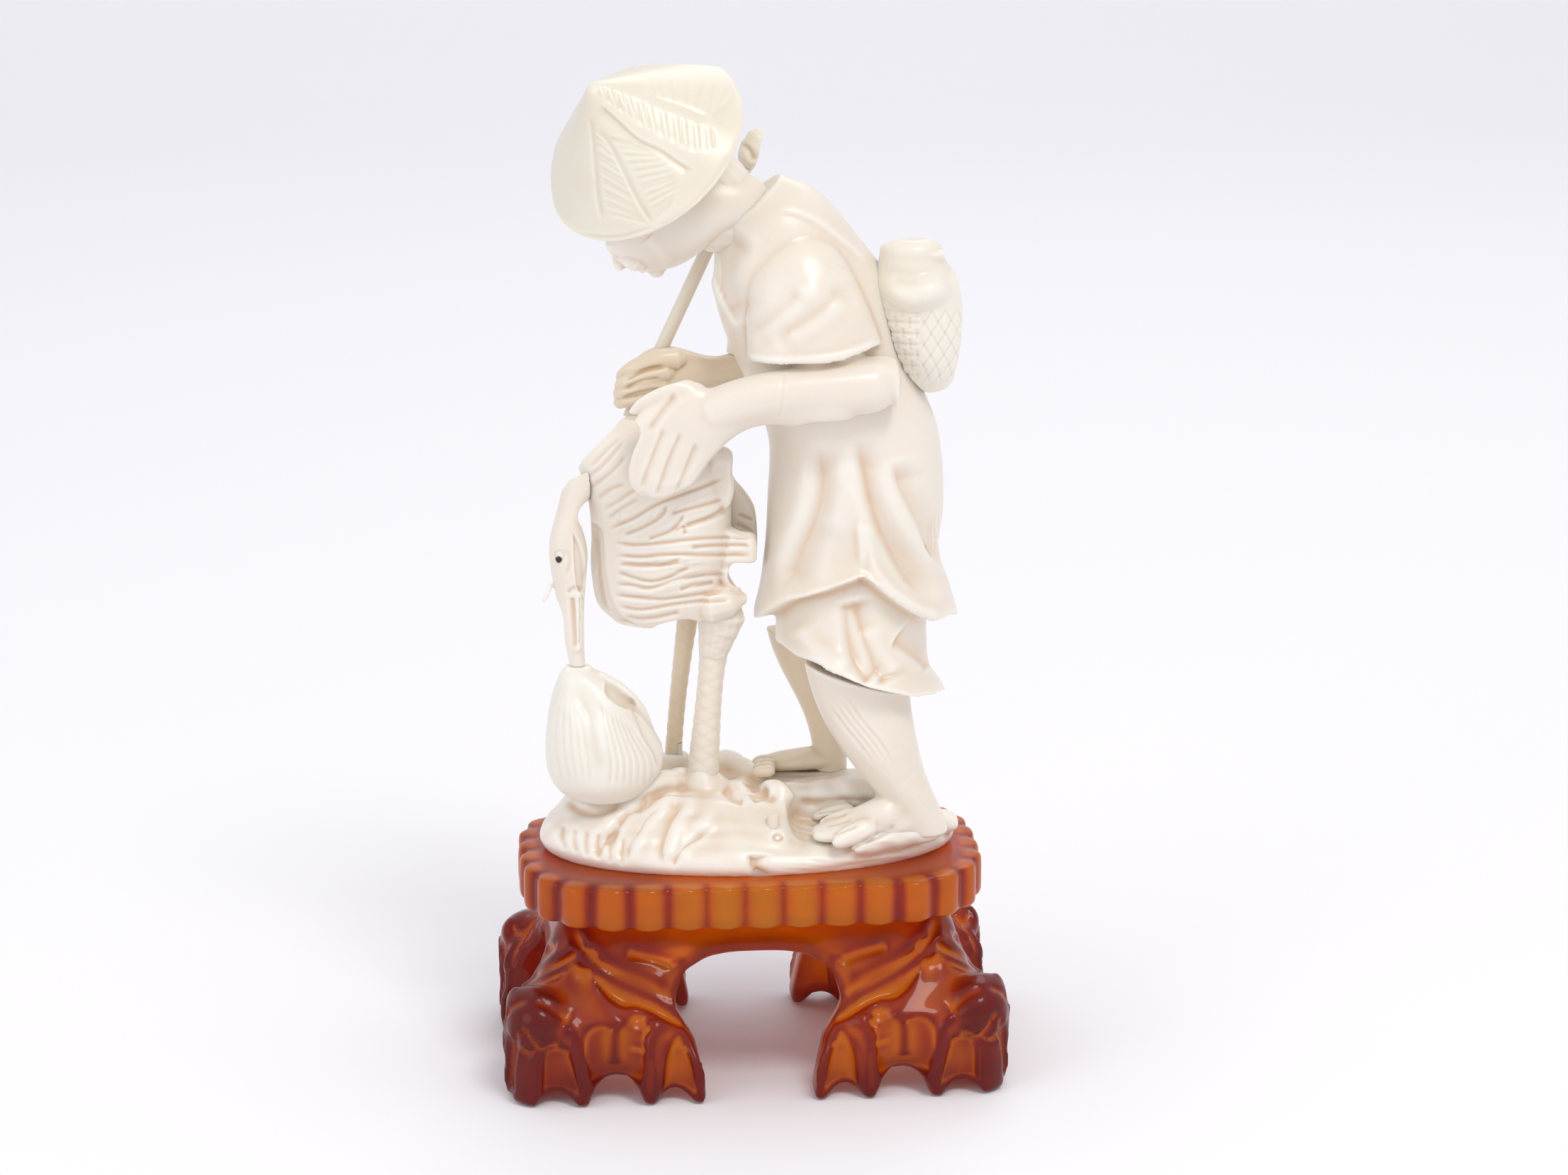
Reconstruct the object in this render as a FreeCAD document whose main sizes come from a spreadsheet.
# Sectional okimono: a stooping fisherman in a leaf hat, one hand on a heron whose bill a clam has caught,
# on a mound of ground that lifts off a carved amber stand. The carved sections meet on joint faces and are
# held by short round pins. Millimetres, +Z up. The figure faces -X and -Y is the side that is looked at.
# The origin is on the table, under the middle of the stand.
import FreeCAD, Part

import math
import os

import Sketcher

Vector = FreeCAD.Vector
doc = FreeCAD.newDocument("okimono")

# Driving dimensions

sheet = doc.addObject("Spreadsheet::Sheet", "sizes")
SIZES = [
    # the amber stand
    ("stand_length", 80.0), ("stand_depth", 50.0), ("stand_height", 35.0), ("foot_height", 13.0),
    ("foot_corner", 7.0), ("shoulder_height", 20.0), ("shoulder_inset", 7.3), ("waist_height", 26.8),
    ("waist_inset", 10.4), ("stand_wall", 6.5), ("hollow_height", 22.0), ("platform_length", 71.0),
    ("platform_depth", 43.6), ("platform_corner", 15.0), ("platform_thickness", 7.0),
    ("scallop_rise", 1.4), ("scallop_pitch", 6.0), ("front_arch_width", 26.4), ("front_arch_foot", 16.2),
    ("front_arch_height", 22.4), ("side_arch_width", 17.0), ("side_arch_foot", 11.0),
    ("side_arch_height", 19.0), ("web_height", 4.4), ("small_web_height", 2.2), ("wide_web_width", 8.0),
    ("outer_web_width", 6.0), ("inner_web_width", 5.2), ("toe_width", 2.5), ("lobe_radius", 5.6),
    ("lobe_height", 12.4), ("panel_height", 12.4), ("panel_radius", 5.0), ("panel_depth", 2.2),
    ("scoop_height", 8.6), ("scoop_radius", 3.4), ("scoop_depth", 1.5),
    ("fold_radius", 3.4), ("fold_depth", 1.5),
    # the carving as a whole, and its seats on the mound
    ("carving_height", 125.0), ("mound_length", 66.0), ("mound_depth", 36.0), ("mound_height", 9.5),
    ("terrace_height", 4.0), ("rock_height", 3.0), ("rock_width", 6.4),
    # fits and pins
    ("stand_pin_diameter", 2.4), ("stand_pin_seat", 3.6), ("stand_pin_drop", 4.4),
    ("stand_pin_spacing", 36.0), ("pin_diameter", 1.2), ("pin_reach", 1.8), ("pin_end_gap", 0.1),
    ("glue_gap", 0.03), ("slip_gap", 0.06), ("plug_diameter", 1.9), ("plug_length", 2.2),
    # the fisherman
    ("robe_width", 32.0), ("robe_depth", 28.0), ("sleeve_width", 20.0), ("sleeve_depth", 11.0),
    ("leg_width", 14.0), ("leg_depth", 12.5), ("far_leg_width", 9.0), ("far_leg_depth", 8.0),
    ("foot_width", 8.0), ("foot_thickness", 4.0), ("head_height", 18.0), ("head_width", 14.6),
    ("hat_radius", 17.1), ("hat_height", 17.0), ("hat_rim", 1.2), ("hat_recess", 2.0),
    ("hat_tip_radius", 1.6), ("arm_width", 9.0), ("arm_depth", 8.6), ("far_arm_width", 9.0),
    ("far_arm_depth", 8.0),
    # what they carry
    ("staff_diameter", 2.2), ("staff_length", 43.2), ("staff_head_diameter", 4.6), ("staff_head_length", 6.4),
    ("creel_width", 14.8), ("creel_depth", 13.0),
    # the heron
    ("bird_width", 26.0), ("bird_depth", 17.0), ("bird_leg_width", 4.8), ("bird_far_leg_width", 3.0),
    ("bird_neck_width", 6.0), ("bird_eye_diameter", 0.8), ("bird_eye_depth", 1.0),
    # the clam
    ("clam_width", 18.6), ("clam_depth", 18.0),
]
for row, (alias, value) in enumerate(SIZES, start=1):
    sheet.set(f"A{row}", alias)
    sheet.set(f"B{row}", str(value))
    sheet.setAlias(f"B{row}", alias)
doc.recompute()
size = {alias: float(sheet.get(alias)) for alias, value in SIZES}
TALL = size["carving_height"]
SEAT = size["stand_height"]

# Rings and lofts

RING_POINTS = 12
FOLD_RING_POINTS = 36
FOLD_SPREAD = 12


def point(x_share, y_share, z_share):
    """A place in the carving, in shares of its height, from the middle of the stand's top."""
    return Vector(x_share * TALL, y_share * TALL, SEAT + z_share * TALL)


def ring(centre, tilt, low, high, front, back, folds=()):
    """A closed oval across a limb. Tilt turns its long axis from +X towards +Z, in degrees.

    Folds give a depth share and the angles at which that share of the radius is pressed in.
    """
    along = Vector(math.cos(math.radians(tilt)), 0, math.sin(math.radians(tilt)))
    corners = []
    count = FOLD_RING_POINTS if folds else RING_POINTS
    for turn in range(count):
        angle = 2 * math.pi * turn / count
        reach = math.cos(angle) * (high if math.cos(angle) > 0 else low)
        side = math.sin(angle) * (back if math.sin(angle) > 0 else front)
        kept = 1 - pressed(math.degrees(angle), folds)
        corners.append(centre + (along * reach + Vector(0, side, 0)) * kept)
    curve = Part.BSplineCurve()
    curve.interpolate(Points=corners, PeriodicFlag=True)
    return Part.Wire([curve.toShape()])


def pressed(angle, folds):
    """The share of a radius taken by folds, which are the same on the front and the back."""
    if not folds:
        return 0
    depth_share, *places = folds
    nearest = min(abs(min(angle, 360 - angle) - (360 - place)) for place in places)
    return depth_share * math.exp(-(nearest / FOLD_SPREAD) ** 2)


def limb(ring_shares, width, depth, folds=()):
    """A solid through ovals. A row holds x, y and z of the middle, the tilt, and the four half widths."""
    wires = []
    for index, (x, y, z, tilt, low, high, front, back) in enumerate(ring_shares):
        wires.append(ring(point(x, y, z), tilt, low * width, high * width, front * depth, back * depth,
                          folds[index] if folds else ()))
    return Part.makeLoft(wires, True, False)


def post(x_low, x_high, y_front, y_back, z):
    """An upright block between two planes each way, from z up past everything there."""
    block = Part.makeBox(x_high - x_low, y_back - y_front, TALL)
    block.translate(Vector(x_low, y_front, z))
    return block


def rod(centre, direction, radius, half_length):
    start = centre - direction * half_length
    return Part.makeCylinder(radius, 2 * half_length, start, direction)


pieces = []


def keep(name, shape):
    """Add a finished shape as a sub-part of the document."""
    piece = doc.addObject("Part::Feature", name)
    piece.Label = name
    piece.Shape = shape
    piece.Placement = FreeCAD.Placement()
    pieces.append(piece)
    return piece


def role_plane(body, role):
    return [plane for plane in body.Origin.OriginFeatures if plane.Role == role][0]


def sketch_on(body, name, role):
    sketch = body.newObject("Sketcher::SketchObject", name)
    sketch.AttachmentSupport = [(role_plane(body, role), "")]
    sketch.MapMode = "FlatFace"
    return sketch


def outline(sketch, corners):
    """A closed outline of straight lines. Each corner is a pair of expressions, both of them positive."""
    lengths = [[float(sheet.evalExpression(text)) for text in corner] for corner in corners]
    for here, there in zip(lengths, lengths[1:] + lengths[:1]):
        sketch.addGeometry(Part.LineSegment(Vector(*here, 0), Vector(*there, 0)), False)
    last = len(corners)
    for index in range(last):
        sketch.addConstraint(Sketcher.Constraint("Coincident", index, 2, (index + 1) % last, 1))
    for index, corner in enumerate(corners):
        for kind, text, length in zip(("DistanceX", "DistanceY"), corner, lengths[index]):
            number = sketch.addConstraint(Sketcher.Constraint(kind, -1, 1, index, 1, length))
            sketch.setExpression(f"Constraints[{number}]", text)


# The stand: a scalloped top on a waisted block, cut by four arches and notched into toes

def rounded_outline(length, depth, corner, height):
    """A rounded rectangle about the upright axis, as one wire of lines and quarter arcs."""
    across = length / 2 - corner
    deep = depth / 2 - corner
    edges = []
    for quarter, (side_x, side_y) in enumerate(((1, 1), (-1, 1), (-1, -1), (1, -1))):
        middle = Vector(side_x * across, side_y * deep, height)
        turn = [math.radians(90 * quarter + step) for step in (0, 45, 90)]
        arc = [middle + Vector(math.cos(a), math.sin(a), 0) * corner for a in turn]
        edges.append(Part.Arc(*arc).toShape())
    joined = []
    for index, edge in enumerate(edges):
        joined.append(edge)
        end = edge.valueAt(edge.LastParameter)
        following = edges[(index + 1) % len(edges)]
        joined.append(Part.LineSegment(end, following.valueAt(following.FirstParameter)).toShape())
    return Part.Wire(joined)


def scalloped_outline():
    """The top's edge: shallow arcs, side by side round a rounded rectangle."""
    base = rounded_outline(size["platform_length"], size["platform_depth"], size["platform_corner"], 0)
    count = 2 * round(base.Length / size["scallop_pitch"] / 2)
    cusps = base.discretize(Number=count + 1)[:-1]
    arcs = []
    for index, cusp in enumerate(cusps):
        following = cusps[(index + 1) % count]
        chord = following - cusp
        outward = Vector(chord.y, -chord.x, 0).normalize()
        crown = (cusp + following) / 2 + outward * size["scallop_rise"]
        arcs.append(Part.Arc(cusp, crown, following).toShape())
    return Part.Wire(arcs)


def arch_cutter(width, foot, height, span, along_x):
    """A keyhole arch, narrower at the floor, that runs right through the stand."""
    knee_bend_share = 0.36
    knee_height_share = 0.42
    belly_share = 0.66
    shoulder_share = 0.94
    crown_share = 0.84
    half = width / 2
    knee = (foot / 2 * (1 - knee_bend_share) + half * knee_bend_share, height * knee_height_share)
    side = [(foot / 2, -size["web_height"]), (foot / 2, 0), knee, (half, height * belly_share),
            (half * crown_share, height * shoulder_share), (half * crown_share / 2, height)]
    places = side + [(-across, up) for across, up in reversed(side)]
    corners = [Vector(across, 0, up) for across, up in places]
    face = Part.Face(Part.makePolygon(corners + corners[:1]))
    block = face.extrude(Vector(0, span, 0))
    block.translate(Vector(0, -span / 2, 0))
    if along_x:
        block.rotate(Vector(), Vector(0, 0, 1), 90)
    return block


def notch_cutter(middle, width, height):
    """The arched gap between two toes, from the front right through to the back."""
    span = 2 * size["stand_depth"]
    straight_share = 0.25
    straight = max(height - width / 2, height * straight_share)
    left = Vector(middle - width / 2, -span / 2, 0)
    right = Vector(middle + width / 2, -span / 2, 0)
    lift = Vector(0, 0, straight)
    arc = Part.Arc(right + lift, Vector(middle, -span / 2, height), left + lift).toShape()
    below = Vector(0, 0, -size["web_height"])
    lines = [Part.LineSegment(left + lift, left + below).toShape(),
             Part.LineSegment(left + below, right + below).toShape(),
             Part.LineSegment(right + below, right + lift).toShape()]
    return Part.Face(Part.Wire([arc] + lines)).extrude(Vector(0, span, 0))


def four_corners(x, y, z):
    """A place and its mirrored copies in the other three quarters of the stand."""
    return [Vector(side_x * x, side_y * y, z) for side_x in (-1, 1) for side_y in (-1, 1)]


def corner_relief(stand):
    """Press the panels between the toes and the slanting folds above them into the stand's sides."""
    length = size["stand_length"]
    depth = size["stand_depth"]
    web = size["web_height"]
    toe = size["toe_width"]
    outer_web = length / 2 - 2 * toe - size["outer_web_width"] / 2
    panel = outer_web - size["outer_web_width"] / 2 - toe - size["wide_web_width"] / 2
    inner_web = panel - size["wide_web_width"] / 2 - toe - size["inner_web_width"] / 2
    side_share = depth / length
    for place, kind in ((outer_web, "scoop"), (panel, "panel"), (inner_web, "scoop")):
        radius = size[kind + "_radius"]
        rise = size[kind + "_height"] + web
        past = radius - size[kind + "_depth"]
        side_radius = radius * side_share
        side_past = side_radius - size[kind + "_depth"]
        for foot in four_corners(place, depth / 2 + past, -web):
            stand = stand.cut(Part.makeCylinder(radius, rise, foot))
        for foot in four_corners(length / 2 + side_past, place * side_share, -web):
            stand = stand.cut(Part.makeCylinder(side_radius, rise, foot))
    fold = size["fold_radius"]
    rise_share = 0.76
    fold_top = size["shoulder_height"] + rise_share * fold
    fold_low = size["foot_height"] - rise_share * fold
    high_share = 0.76
    low_share = 0.22
    lift = fold - size["fold_depth"]
    high_out = depth / 2 - size["shoulder_inset"] + lift
    low_out = depth / 2 + rise_share * lift
    starts = four_corners(high_share * length / 2, high_out, fold_top)
    ends = four_corners(low_share * length / 2, low_out, fold_low)
    for start, end in zip(starts, ends):
        stand = stand.cut(Part.makeCylinder(fold, (end - start).Length, start, end - start))
    return stand


def stand_shape():
    length = size["stand_length"]
    depth = size["stand_depth"]
    corner = size["foot_corner"]
    shoulder = size["shoulder_inset"]
    waist = size["waist_inset"]
    platform_low = size["stand_height"] - size["platform_thickness"]
    knee_share = 0.2
    calf_share = 0.7
    brow_share = 1.06
    waist_share = 0.94
    foot = size["foot_height"]
    shoulder_height = size["shoulder_height"]
    waist_height = size["waist_height"]
    levels = [(0, 0), (foot / 2, 0), (foot, shoulder * knee_share),
              ((foot + shoulder_height) / 2, shoulder * calf_share), (shoulder_height, shoulder),
              ((shoulder_height + waist_height) / 2, shoulder * brow_share),
              (waist_height, waist * waist_share), (platform_low, waist)]
    wires = [rounded_outline(length - 2 * inset, depth - 2 * inset, corner, z) for z, inset in levels]
    stand = Part.makeLoft(wires, True, True)
    lobe = size["lobe_radius"]
    lobe_reach_share = 1.03
    for place in four_corners(length / 2 - lobe_reach_share * lobe, depth / 2 - lobe_reach_share * lobe,
                              size["lobe_height"]):
        stand = stand.fuse(Part.makeSphere(lobe, place))
    stand = corner_relief(stand)
    wall = size["stand_wall"]
    knee_wall_share = 1.2
    top_wall_share = 1.9
    inner = [(-wall, wall), (size["foot_height"], wall * knee_wall_share),
             (size["hollow_height"], wall * top_wall_share)]
    hollow = Part.makeLoft([rounded_outline(length - 2 * inset, depth - 2 * inset, corner, z)
                            for z, inset in inner], True, True)
    stand = stand.cut(hollow)
    stand = stand.cut(arch_cutter(size["front_arch_width"], size["front_arch_foot"],
                                  size["front_arch_height"], 2 * depth, False))
    stand = stand.cut(arch_cutter(size["side_arch_width"], size["side_arch_foot"],
                                  size["side_arch_height"], 2 * length, True))
    place = length / 2 - 2 * size["toe_width"]
    for width, height in ((size["outer_web_width"], size["small_web_height"]),
                          (size["wide_web_width"], size["web_height"]),
                          (size["inner_web_width"], size["small_web_height"])):
        middle = place - width / 2
        stand = stand.cut(notch_cutter(middle, width, height))
        stand = stand.cut(notch_cutter(-middle, width, height))
        place = place - width - size["toe_width"]
    top = Part.Face(scalloped_outline()).extrude(Vector(0, 0, size["platform_thickness"]))
    top.translate(Vector(0, 0, platform_low))
    return stand.fuse(top).removeSplitter()


up = Vector(0, 0, 1)
stand_pin_places = [Vector(side * size["stand_pin_spacing"] / 2, 0, SEAT) for side in (-1, 1)]
stand = stand_shape()
for place in stand_pin_places:
    drop = size["stand_pin_drop"]
    hole = Part.makeCylinder(size["stand_pin_diameter"] / 2 + size["slip_gap"], drop, place, -up)
    stand = stand.cut(hole)

# The mound: stacked from ovals, with a terrace for the near foot and a rock under the heron's far leg

MOUND_LAYER_SHARES = ((0.0, 0.49, 0.48, 0.49, 0.49), (0.24, 0.505, 0.495, 0.505, 0.5),
                      (0.5, 0.485, 0.465, 0.43, 0.47), (0.76, 0.455, 0.42, 0.32, 0.42),
                      (1.0, 0.42, 0.33, 0.22, 0.36))
mound_top = SEAT + size["mound_height"]
mound_wires = []
for z, low, high, front, back in MOUND_LAYER_SHARES:
    centre = Vector(0, 0, SEAT + z * size["mound_height"])
    mound_wires.append(ring(centre, 0, low * size["mound_length"], high * size["mound_length"],
                            front * size["mound_depth"], back * size["mound_depth"]))
mound = Part.makeLoft(mound_wires, True, False)
terrace = SEAT + size["terrace_height"]
TERRACE_START_SHARE = 0.09
TERRACE_DEPTH_SHARE = 0.1
mound = mound.cut(post(TERRACE_START_SHARE * size["mound_length"], size["mound_length"],
                       -size["mound_depth"], -TERRACE_DEPTH_SHARE * size["mound_depth"], terrace))
ROCK_PLACE_SHARES = (-0.091, 0.070)
ROCK_TOP_SHARE = 0.7
rock_top = mound_top + size["rock_height"]
rock = Part.makeCone(size["rock_width"] / 2, ROCK_TOP_SHARE * size["rock_width"] / 2, size["rock_height"],
                     Vector(ROCK_PLACE_SHARES[0] * TALL, ROCK_PLACE_SHARES[1] * TALL, mound_top))
mound = mound.fuse(rock).removeSplitter()


def standing(shape, floor):
    """Cut a limb flat at the level of the ground that it stands on."""
    return shape.cut(post(-TALL, TALL, -TALL, TALL, floor - TALL))


# The heron's legs, body, and neck with its bill

BIRD_LEG_SHARES = (
    (-0.064, 0.000, 0.030, 0, 0.48, 0.48, 0.46, 0.46), (-0.054, 0.000, 0.144, 0, 0.48, 0.48, 0.44, 0.44),
    (-0.047, -0.002, 0.224, 0, 0.44, 0.44, 0.46, 0.46), (-0.038, -0.004, 0.296, 0, 0.66, 0.66, 0.62, 0.62))
BIRD_FAR_LEG_SHARES = (
    (-0.094, 0.072, 0.050, 0, 0.50, 0.50, 0.50, 0.50), (-0.085, 0.064, 0.180, 0, 0.46, 0.46, 0.46, 0.46),
    (-0.071, 0.052, 0.296, 0, 0.60, 0.60, 0.56, 0.56))
BIRD_BODY_SHARES = (
    (-0.096, 0.000, 0.296, 0, 0.40, 0.38, 0.40, 0.44), (-0.101, 0.000, 0.330, 0, 0.45, 0.39, 0.47, 0.46),
    (-0.096, 0.000, 0.378, 0, 0.50, 0.35, 0.52, 0.47), (-0.096, 0.000, 0.424, 0, 0.49, 0.37, 0.52, 0.46),
    (-0.102, -0.003, 0.464, 0, 0.49, 0.40, 0.48, 0.44), (-0.118, -0.006, 0.504, 0, 0.46, 0.43, 0.42, 0.38),
    (-0.128, -0.008, 0.540, 0, 0.34, 0.32, 0.33, 0.28), (-0.132, -0.008, 0.563, 0, 0.12, 0.12, 0.15, 0.12))
# Tail feathers behind the body: low and high x, y and z of each block, as shares of the height
TAIL_SHARES = ((-0.080, 0.010, -0.041, -0.001, 0.364, 0.413), (-0.080, 0.012, 0.017, 0.041, 0.348, 0.464))
BIRD_NECK_SHARES = (
    (-0.170, -0.008, 0.520, -60, 0.55, 0.45, 0.5, 0.5), (-0.192, -0.010, 0.502, -45, 0.58, 0.46, 0.52, 0.52),
    (-0.211, -0.012, 0.472, -30, 0.45, 0.38, 0.46, 0.46), (-0.222, -0.015, 0.440, -15, 0.38, 0.27, 0.42, 0.42),
    (-0.227, -0.017, 0.408, -4, 0.46, 0.48, 0.46, 0.46), (-0.225, -0.017, 0.372, 0, 0.50, 0.46, 0.47, 0.47),
    (-0.223, -0.017, 0.328, 0, 0.38, 0.34, 0.38, 0.38), (-0.220, -0.017, 0.280, 0, 0.27, 0.26, 0.28, 0.28),
    (-0.216, -0.016, 0.244, 0, 0.21, 0.20, 0.22, 0.22))
bird_leg = standing(limb(BIRD_LEG_SHARES, size["bird_leg_width"], size["bird_leg_width"]), mound_top)
bird_far_leg = standing(limb(BIRD_FAR_LEG_SHARES, size["bird_far_leg_width"], size["bird_far_leg_width"]),
                        rock_top)
bird_body = limb(BIRD_BODY_SHARES, size["bird_width"], size["bird_depth"])
for low, high, front, back, foot, top in TAIL_SHARES:
    bird_body = bird_body.fuse(Part.makeBox((high - low) * TALL, (back - front) * TALL, (top - foot) * TALL,
                                            point(low, front, foot)))
bird_neck = limb(BIRD_NECK_SHARES, size["bird_neck_width"], size["bird_neck_width"]).cut(bird_body)

# The clam: its open lip meets the end of the bill

CLAM_SHARES = (
    (-0.188, -0.012, 0.050, 0, 0.14, 0.16, 0.18, 0.18), (-0.187, -0.014, 0.076, 0, 0.30, 0.32, 0.38, 0.38),
    (-0.184, -0.018, 0.098, 0, 0.46, 0.44, 0.47, 0.46),
    (-0.184, -0.018, 0.130, 0, 0.50, 0.50, 0.50, 0.50), (-0.190, -0.018, 0.162, 0, 0.45, 0.44, 0.46, 0.46),
    (-0.198, -0.017, 0.196, 0, 0.36, 0.36, 0.36, 0.36), (-0.208, -0.016, 0.226, 0, 0.23, 0.24, 0.24, 0.24),
    (-0.216, -0.016, 0.244, 0, 0.10, 0.11, 0.10, 0.10))
clam = standing(limb(CLAM_SHARES, size["clam_width"], size["clam_depth"]), mound_top)

# The fisherman's legs and feet, cut flat where they stand

HEM_TILT = -16.7
LEG_SHARES = (
    (0.206, -0.076, 0.010, 0, 0.37, 0.37, 0.36, 0.36), (0.202, -0.074, 0.064, 0, 0.32, 0.32, 0.38, 0.38),
    (0.183, -0.072, 0.099, 0, 0.35, 0.35, 0.44, 0.44), (0.162, -0.070, 0.140, 0, 0.43, 0.43, 0.49, 0.49),
    (0.145, -0.066, 0.184, 0, 0.51, 0.51, 0.50, 0.50),
    (0.132, -0.064, 0.236, HEM_TILT, 0.62, 0.65, 0.50, 0.50))
FOOT_SHARES = (
    (0.072, -0.100, 0.041, 90, 0.20, 0.22, 0.25, 0.25), (0.088, -0.100, 0.042, 90, 0.32, 0.34, 0.42, 0.42),
    (0.120, -0.096, 0.045, 90, 0.40, 0.50, 0.48, 0.48), (0.160, -0.088, 0.048, 90, 0.50, 0.80, 0.50, 0.50),
    (0.200, -0.080, 0.052, 90, 0.60, 0.90, 0.50, 0.50))
FAR_LEG_SHARES = (
    (0.112, 0.064, 0.050, 0, 0.32, 0.32, 0.36, 0.36), (0.110, 0.064, 0.104, 0, 0.31, 0.31, 0.36, 0.36),
    (0.105, 0.064, 0.144, 0, 0.37, 0.37, 0.42, 0.42), (0.094, 0.062, 0.184, 0, 0.46, 0.46, 0.50, 0.50),
    (0.075, 0.060, 0.253, HEM_TILT, 0.68, 0.72, 0.58, 0.58))
FAR_FOOT_SHARES = (
    (0.019, 0.064, 0.084, 90, 0.20, 0.20, 0.22, 0.22), (0.040, 0.064, 0.086, 90, 0.32, 0.34, 0.36, 0.36),
    (0.072, 0.064, 0.088, 90, 0.38, 0.45, 0.38, 0.38), (0.108, 0.064, 0.090, 90, 0.45, 0.60, 0.36, 0.36))


def leg_on_foot(leg_shares, width, depth, foot_shares, floor):
    """A leg and its foot in one, cut flat at the floor that they stand on."""
    foot = limb(foot_shares, size["foot_thickness"], size["foot_width"])
    return standing(limb(leg_shares, width, depth).fuse(foot), floor).removeSplitter()


near_leg = leg_on_foot(LEG_SHARES, size["leg_width"], size["leg_depth"], FOOT_SHARES, terrace)
far_leg = leg_on_foot(FAR_LEG_SHARES, size["far_leg_width"], size["far_leg_depth"], FAR_FOOT_SHARES,
                      mound_top)

# The robe with its two wide sleeves

NECK_TILT = 42
ROBE_SHARES = (
    (0.136, -0.004, 0.312, 0, 0.50, 0.49, 0.49, 0.47), (0.134, -0.002, 0.340, 0, 0.46, 0.46, 0.48, 0.46),
    (0.130, 0.000, 0.384, 0, 0.42, 0.42, 0.45, 0.43), (0.136, 0.000, 0.448, 0, 0.43, 0.43, 0.43, 0.41),
    (0.134, 0.000, 0.532, 3, 0.42, 0.41, 0.38, 0.39), (0.110, 0.002, 0.600, 10, 0.41, 0.39, 0.37, 0.39),
    (0.080, 0.004, 0.680, 15, 0.42, 0.42, 0.38, 0.41), (0.046, 0.004, 0.744, 25, 0.37, 0.34, 0.36, 0.39),
    (0.016, 0.004, 0.788, 35, 0.28, 0.28, 0.29, 0.32), (-0.010, 0.006, 0.812, NECK_TILT, 0.17, 0.19, 0.19, 0.20))
UNDERSKIRT_SHARES = (
    (0.138, -0.004, 0.238, HEM_TILT, 0.41, 0.42, 0.44, 0.42), (0.136, -0.004, 0.290, -8, 0.40, 0.40, 0.42, 0.40),
    (0.134, -0.004, 0.396, 0, 0.36, 0.36, 0.38, 0.36))
# A depth share, then the angle of each fold from the creel's side, for each oval of the robe
ROBE_FOLDS = (
    (0.10, 208, 325, 352), (0.11, 213, 318, 345), (0.11, 222, 301, 335), (0.10, 237, 284, 311),
    (0.06, 241, 269, 295), (0.0, 245, 270, 295), (0.0, 245, 270, 295), (0.0, 245, 270, 295),
    (0.0, 245, 270, 295), (0.0, 245, 270, 295))
# The open front of the robe's lower edge, as shares of the height from the front to the creel's side
ROBE_EDGE_SHARES = (
    (0.002, 0.305), (0.037, 0.342), (0.084, 0.358), (0.134, 0.378), (0.183, 0.337), (0.232, 0.305))
SLEEVE_SHARES = (
    (0.056, -0.040, 0.760, 12, 0.34, 0.34, 0.36, 0.36), (0.068, -0.060, 0.716, 8, 0.46, 0.46, 0.50, 0.45),
    (0.080, -0.074, 0.646, 5, 0.51, 0.50, 0.52, 0.45))
FAR_SLEEVE_SHARES = (
    (0.040, 0.048, 0.752, 15, 0.28, 0.28, 0.36, 0.36), (0.028, 0.064, 0.688, 8, 0.28, 0.30, 0.45, 0.45),
    (0.020, 0.068, 0.628, 5, 0.26, 0.30, 0.45, 0.42))
robe = limb(ROBE_SHARES, size["robe_width"], size["robe_depth"], ROBE_FOLDS)
edge = [point(x, -1, z) for x, z in ROBE_EDGE_SHARES]
below = [point(ROBE_EDGE_SHARES[end][0], -1, 0) for end in (-1, 0)]
robe = robe.cut(Part.Face(Part.makePolygon(edge + below + edge[:1])).extrude(Vector(0, 2 * TALL, 0)))
robe = robe.fuse(limb(UNDERSKIRT_SHARES, size["robe_width"], size["robe_depth"]))
for sleeve_shares in (SLEEVE_SHARES, FAR_SLEEVE_SHARES):
    robe = robe.fuse(limb(sleeve_shares, size["sleeve_width"], size["sleeve_depth"]))

# The head and the hat, whose underside is hollowed to a flat seat for the crown

HEAD_SHARES = (
    (-0.010, 0.006, 0.812, NECK_TILT, 0.30, 0.33, 0.36, 0.38), (-0.040, 0.008, 0.813, 65, 0.39, 0.42, 0.43, 0.43),
    (-0.080, 0.012, 0.810, 85, 0.43, 0.50, 0.50, 0.50), (-0.120, 0.014, 0.812, 95, 0.50, 0.50, 0.50, 0.50),
    (-0.156, 0.014, 0.804, 100, 0.42, 0.42, 0.41, 0.41), (-0.178, 0.014, 0.798, 100, 0.20, 0.20, 0.20, 0.20))
HAT_RISE = 41.8
HAT_TURN = 226.5
hat_centre = point(-0.123, 0.000, 0.894)
level = math.cos(math.radians(HAT_RISE))
hat_axis = Vector(level * math.cos(math.radians(HAT_TURN)), level * math.sin(math.radians(HAT_TURN)),
                  math.sin(math.radians(HAT_RISE)))

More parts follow.
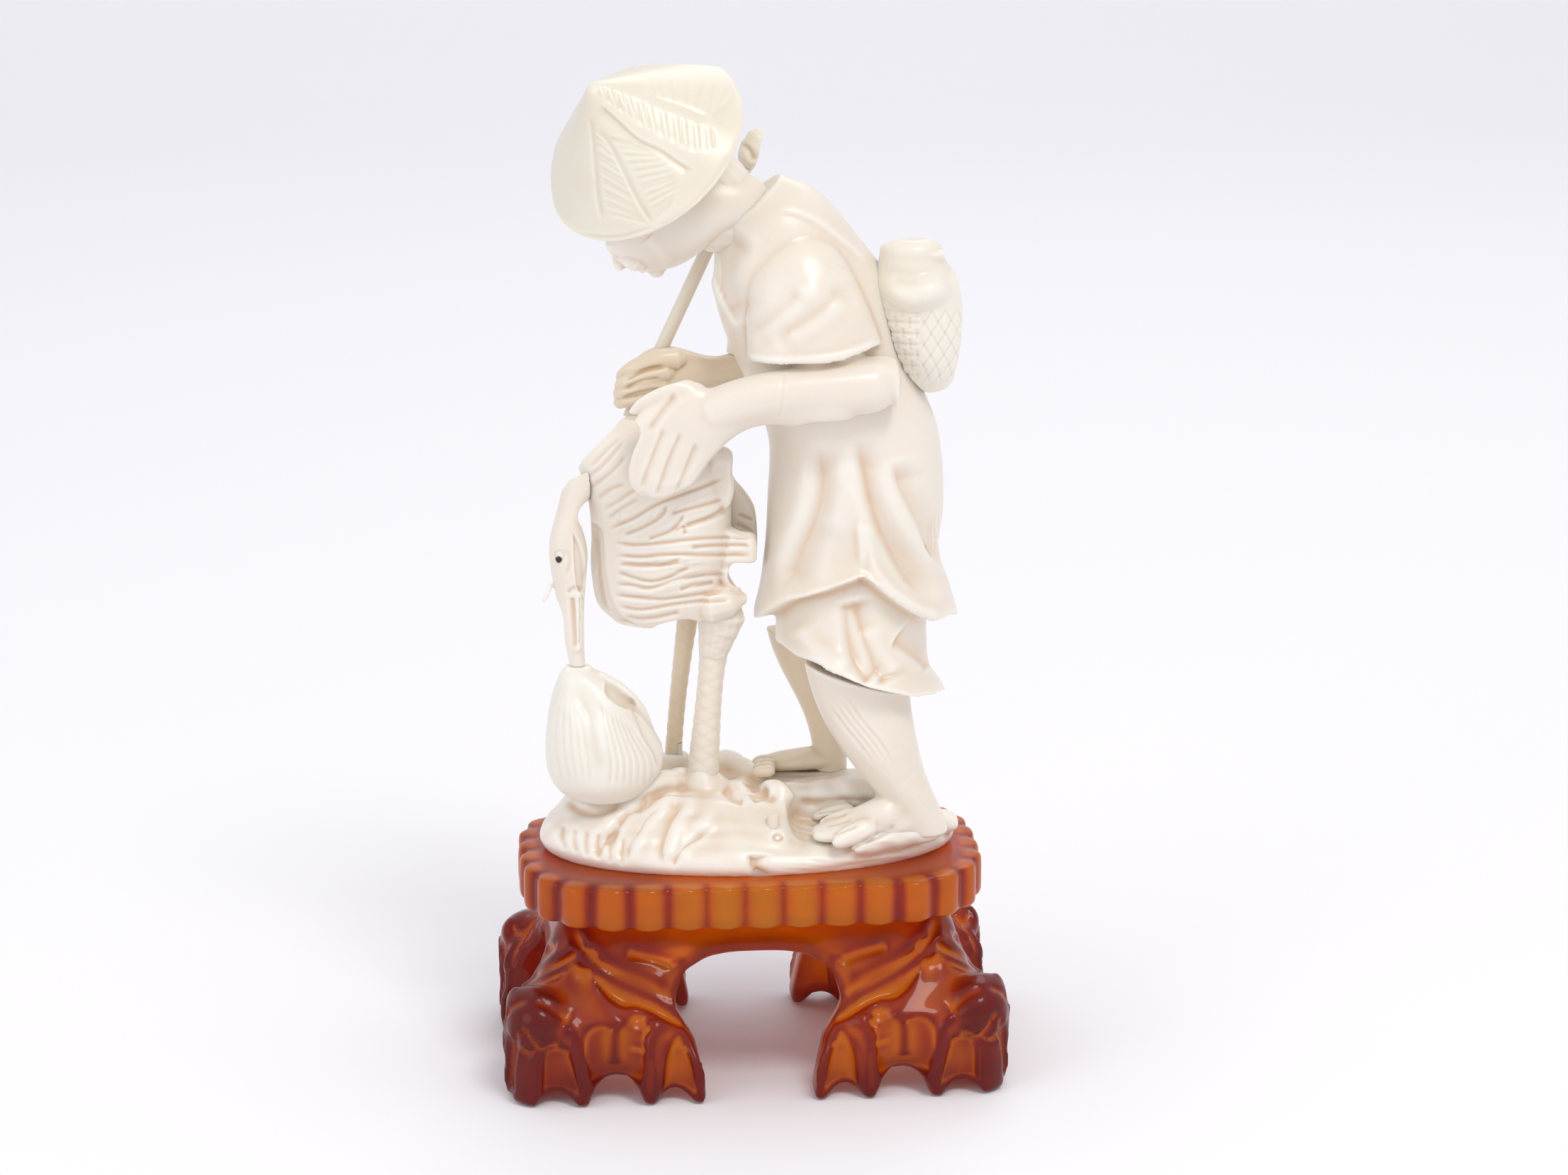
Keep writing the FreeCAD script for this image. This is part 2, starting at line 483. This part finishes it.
hat = doc.addObject("PartDesign::Body", "hat")
hat.Label = "hat"
profile = sketch_on(hat, "hat_profile", "XZ_Plane")
outline(profile, (
    ("0", "sizes.hat_recess"), ("sizes.hat_radius * 0.62", "sizes.hat_recess"),
    ("sizes.hat_radius * 0.96", "0"), ("sizes.hat_radius", "sizes.hat_rim * 0.4"),
    ("sizes.hat_radius * 0.985", "sizes.hat_rim"), ("sizes.hat_radius * 0.56", "sizes.hat_height * 0.49"),
    ("sizes.hat_radius * 0.22", "sizes.hat_height * 0.82"), ("sizes.hat_tip_radius", "sizes.hat_height * 0.95"),
    ("sizes.hat_tip_radius / 2", "sizes.hat_height * 0.99"), ("0", "sizes.hat_height")))
turned = hat.newObject("PartDesign::Revolution", "hat_cone")
turned.Profile = profile
turned.ReferenceAxis = (profile, ["V_Axis"])
turned.Angle = 360
hat.Placement = FreeCAD.Placement(hat_centre, FreeCAD.Rotation(up, hat_axis))
doc.recompute()

head = limb(HEAD_SHARES, size["head_height"], size["head_width"])
roof = hat_centre + hat_axis * size["hat_recess"]
head = head.cut(Part.makeCylinder(size["hat_radius"], size["hat_height"], roof, hat_axis)).cut(hat.Shape)

# The arms, the staff through the far fist, and its flattened head

ARM_SHARES = (
    (0.179, -0.088, 0.611, 90, 0.44, 0.46, 0.44, 0.46), (0.120, -0.090, 0.608, 90, 0.50, 0.50, 0.50, 0.50),
    (0.056, -0.093, 0.598, 90, 0.50, 0.50, 0.47, 0.47), (-0.020, -0.096, 0.586, 90, 0.42, 0.42, 0.37, 0.37),
    (-0.064, -0.102, 0.568, 78, 0.85, 0.68, 0.32, 0.30), (-0.104, -0.105, 0.552, 72, 1.00, 0.94, 0.27, 0.25),
    (-0.138, -0.104, 0.544, 75, 0.78, 0.80, 0.19, 0.19), (-0.154, -0.101, 0.544, 80, 0.36, 0.44, 0.10, 0.10))
FAR_ARM_SHARES = (
    (0.048, 0.062, 0.616, 90, 0.43, 0.43, 0.42, 0.42), (0.012, 0.060, 0.614, 90, 0.40, 0.40, 0.40, 0.40),
    (-0.052, 0.056, 0.602, 90, 0.34, 0.31, 0.33, 0.33), (-0.088, 0.056, 0.600, 90, 0.51, 0.49, 0.50, 0.50),
    (-0.132, 0.056, 0.589, 90, 0.47, 0.49, 0.50, 0.50), (-0.155, 0.056, 0.581, 90, 0.24, 0.24, 0.25, 0.25))
near_arm = limb(ARM_SHARES, size["arm_width"], size["arm_depth"]).cut(robe).cut(bird_body)
far_arm = limb(FAR_ARM_SHARES, size["far_arm_width"], size["far_arm_depth"]).cut(robe)
staff_foot = point(-0.145, 0.054, 0.546)
staff_line = Vector(0.149, 0.024, 0.312).normalize()
staff_top = staff_foot + staff_line * size["staff_length"]
far_arm = far_arm.cut(Part.makeCylinder(size["staff_diameter"] / 2 + size["glue_gap"],
                                        size["staff_length"], staff_foot, staff_line))

staff = doc.addObject("Part::Cylinder", "staff")
staff.Label = "staff"
staff.setExpression("Radius", "sizes.staff_diameter / 2")
staff.setExpression("Height", "sizes.staff_length")
staff.Placement = FreeCAD.Placement(staff_foot, FreeCAD.Rotation(up, staff_line))

staff_head = doc.addObject("PartDesign::Body", "staff_head")
staff_head.Label = "staff_head"
knob_profile = sketch_on(staff_head, "staff_head_profile", "XZ_Plane")
outline(knob_profile, (
    ("0", "0"), ("sizes.staff_diameter * 0.5", "0"),
    ("sizes.staff_head_diameter * 0.42", "sizes.staff_head_length * 0.2"),
    ("sizes.staff_head_diameter * 0.5", "sizes.staff_head_length * 0.55"),
    ("sizes.staff_head_diameter * 0.4", "sizes.staff_head_length * 0.85"),
    ("sizes.staff_head_diameter * 0.2", "sizes.staff_head_length"), ("0", "sizes.staff_head_length")))
knob = staff_head.newObject("PartDesign::Revolution", "staff_head_knob")
knob.Profile = knob_profile
knob.ReferenceAxis = (knob_profile, ["V_Axis"])
knob.Angle = 360
staff_head.Placement = FreeCAD.Placement(staff_top, FreeCAD.Rotation(up, staff_line))

# The creel on the back, with a collar under its mouth

CREEL_SHARES = (
    (0.234, -0.012, 0.578, 0, 0.10, 0.10, 0.10, 0.10), (0.232, -0.012, 0.595, 0, 0.27, 0.26, 0.27, 0.27),
    (0.226, -0.014, 0.620, 0, 0.41, 0.37, 0.41, 0.41), (0.218, -0.016, 0.659, 0, 0.48, 0.46, 0.49, 0.48),
    (0.213, -0.016, 0.688, 0, 0.50, 0.50, 0.50, 0.50), (0.211, -0.016, 0.716, 0, 0.49, 0.49, 0.49, 0.49),
    (0.211, -0.016, 0.738, 0, 0.40, 0.42, 0.41, 0.41), (0.211, -0.016, 0.748, 0, 0.32, 0.33, 0.34, 0.34),
    (0.211, -0.016, 0.760, 0, 0.33, 0.35, 0.35, 0.35), (0.211, -0.016, 0.772, 0, 0.28, 0.30, 0.30, 0.30))
creel = limb(CREEL_SHARES, size["creel_width"], size["creel_depth"]).cut(robe)

# Round pins that hold the sections together, each half in one piece and half in its neighbour

lean = math.radians(HEM_TILT)
neck_lean = math.radians(NECK_TILT)
hem_line = Vector(-math.sin(lean), 0, math.cos(lean))
neck_line = Vector(-math.sin(neck_lean), 0, math.cos(neck_lean))
sideways = Vector(1, 0, 0)
inward = Vector(0, 1, 0)


def middle(ring_shares, row):
    """The middle of one oval of a limb."""
    return point(*ring_shares[row][:3])


def foot_middle(ring_shares, floor):
    """Where a standing limb meets the ground."""
    foot = middle(ring_shares, 1)
    return Vector(foot.x, foot.y, floor)


crown = middle(HEAD_SHARES, 2)
crown = crown + hat_axis * (roof - crown).dot(hat_axis)
PIN_PLACES = (
    (middle(ROBE_SHARES, -1), neck_line), (crown, hat_axis), (point(0.120, -0.080, 0.608), inward),
    (point(0.026, 0.061, 0.612), sideways), (point(0.180, -0.014, 0.676), sideways),
    (middle(LEG_SHARES, -1), hem_line), (foot_middle(LEG_SHARES, terrace), up),
    (middle(FAR_LEG_SHARES, -1), hem_line), (foot_middle(FAR_LEG_SHARES, mound_top), up),
    (middle(BIRD_LEG_SHARES, -1), up), (foot_middle(BIRD_LEG_SHARES, mound_top), up),
    (middle(BIRD_FAR_LEG_SHARES, -1), up), (foot_middle(BIRD_FAR_LEG_SHARES, rock_top), up),
    (foot_middle(CLAM_SHARES, mound_top), up), (middle(BIRD_NECK_SHARES, 1), (-sideways - up).normalize()))


def neighbours_cut(shapes, tool):
    """Take one small tool out of every shape that it reaches."""
    for name, shape in shapes.items():
        if shape.BoundBox.intersect(tool.BoundBox):
            shapes[name] = shape.cut(tool)


shapes = {"stand": stand, "mound": mound, "clam": clam, "heron_near_leg": bird_leg,
          "heron_far_leg": bird_far_leg, "heron_body": bird_body, "heron_neck": bird_neck,
          "fisherman_near_leg": near_leg, "fisherman_far_leg": far_leg, "robe": robe, "head": head,
          "near_arm": near_arm, "far_arm": far_arm, "creel": creel}
pin_radius = size["pin_diameter"] / 2
joint_pins = []
for number, (place, line) in enumerate(PIN_PLACES, start=1):
    neighbours_cut(shapes, rod(place, line, pin_radius + size["glue_gap"],
                               size["pin_reach"] + size["pin_end_gap"]))
    pin = doc.addObject("Part::Cylinder", f"joint_pin_{number}")
    pin.setExpression("Radius", "sizes.pin_diameter / 2")
    pin.setExpression("Height", "2 * sizes.pin_reach")
    pin.Placement = FreeCAD.Placement(place - line * size["pin_reach"], FreeCAD.Rotation(up, line))
    joint_pins.append(pin)

# The hat keeps its own half of the crown's pin hole
hat_hole = hat.newObject("PartDesign::SubtractiveCylinder", "crown_pin_hole")
hat_hole.setExpression("Radius", "sizes.pin_diameter / 2 + sizes.glue_gap")
hat_hole.setExpression("Height", "2 * sizes.pin_reach + 2 * sizes.pin_end_gap")
local_crown = hat.Placement.inverse().multVec(crown)
hat_hole.Placement = FreeCAD.Placement(local_crown - up * (size["pin_reach"] + size["pin_end_gap"]),
                                       FreeCAD.Rotation())

# The two pins that stand in the mound and drop into the stand

stand_pins = []
for number, place in enumerate(stand_pin_places, start=1):
    seat_hole = Part.makeCylinder(size["stand_pin_diameter"] / 2 + size["glue_gap"],
                                  size["stand_pin_seat"], place, up)
    shapes["mound"] = shapes["mound"].cut(seat_hole)
    pin = doc.addObject("Part::Cylinder", f"stand_pin_{number}")
    pin.setExpression("Radius", "sizes.stand_pin_diameter / 2")
    pin.setExpression("Height", "sizes.stand_pin_seat + sizes.stand_pin_drop - sizes.pin_end_gap")
    pin.Placement = FreeCAD.Placement(place - up * (size["stand_pin_drop"] - size["pin_end_gap"]),
                                      FreeCAD.Rotation())
    stand_pins.append(pin)

# The round plug in the front of the mound

PLUG_PLACE_SHARES = (0.045, -0.35)
PLUG_DROP_SHARE = 1.4
plug_foot = Vector(PLUG_PLACE_SHARES[0] * size["mound_length"], PLUG_PLACE_SHARES[1] * size["mound_depth"],
                   mound_top - PLUG_DROP_SHARE * size["plug_length"])
plug_hole = Part.makeCylinder(size["plug_diameter"] / 2 + size["glue_gap"], TALL, plug_foot, up)
shapes["mound"] = shapes["mound"].cut(plug_hole)
plug = doc.addObject("Part::Cylinder", "mound_plug")
plug.Label = "mound_plug"
plug.setExpression("Radius", "sizes.plug_diameter / 2")
plug.setExpression("Height", "sizes.plug_length")
plug.Placement = FreeCAD.Placement(plug_foot, FreeCAD.Rotation())

# The heron's inlaid eyes, one in a blind hole on each side of the head

eye_middle = point(-0.239, -0.017, 0.387)
EYE_SIDE_SHARE = 0.44
eyes = []
for number, side in enumerate((-1, 1), start=1):
    outside = eye_middle + inward * side * EYE_SIDE_SHARE * size["bird_neck_width"]
    line = inward * -side
    socket = Part.makeCylinder(size["bird_eye_diameter"] / 2 + size["glue_gap"],
                               2 * size["bird_eye_depth"], outside - line * size["bird_eye_depth"], line)
    shapes["heron_neck"] = shapes["heron_neck"].cut(socket)
    eye = doc.addObject("Part::Cylinder", f"eye_{number}")
    eye.setExpression("Radius", "sizes.bird_eye_diameter / 2")
    eye.setExpression("Height", "sizes.bird_eye_depth")
    eye.Placement = FreeCAD.Placement(outside, FreeCAD.Rotation(up, line))
    eyes.append(eye)

for name, shape in shapes.items():
    keep(name, shape)
for name, group in (("joint_pins", joint_pins), ("stand_pins", stand_pins), ("heron_eyes", eyes)):
    compound = doc.addObject("Part::Compound", name)
    compound.Label = name
    compound.Links = group
    pieces.append(compound)
pieces += [hat, staff, staff_head, plug]

# Checks, then one file for each piece

doc.recompute()
for thing in doc.Objects:
    if "Invalid" in thing.State or "Error" in thing.State:
        raise RuntimeError(f"{thing.Name} did not recompute: {thing.State}")
os.makedirs("parts", exist_ok=True)
for piece in pieces:
    if piece.Shape.isNull() or not piece.Shape.isValid() or not piece.Shape.Solids:
        raise RuntimeError(f"{piece.Label} has no valid solid")
for piece in pieces:
    piece.Shape.exportStep(f"parts/{piece.Label}.step")
    print(piece.Label, len(piece.Shape.Solids), round(piece.Shape.Volume, 1))
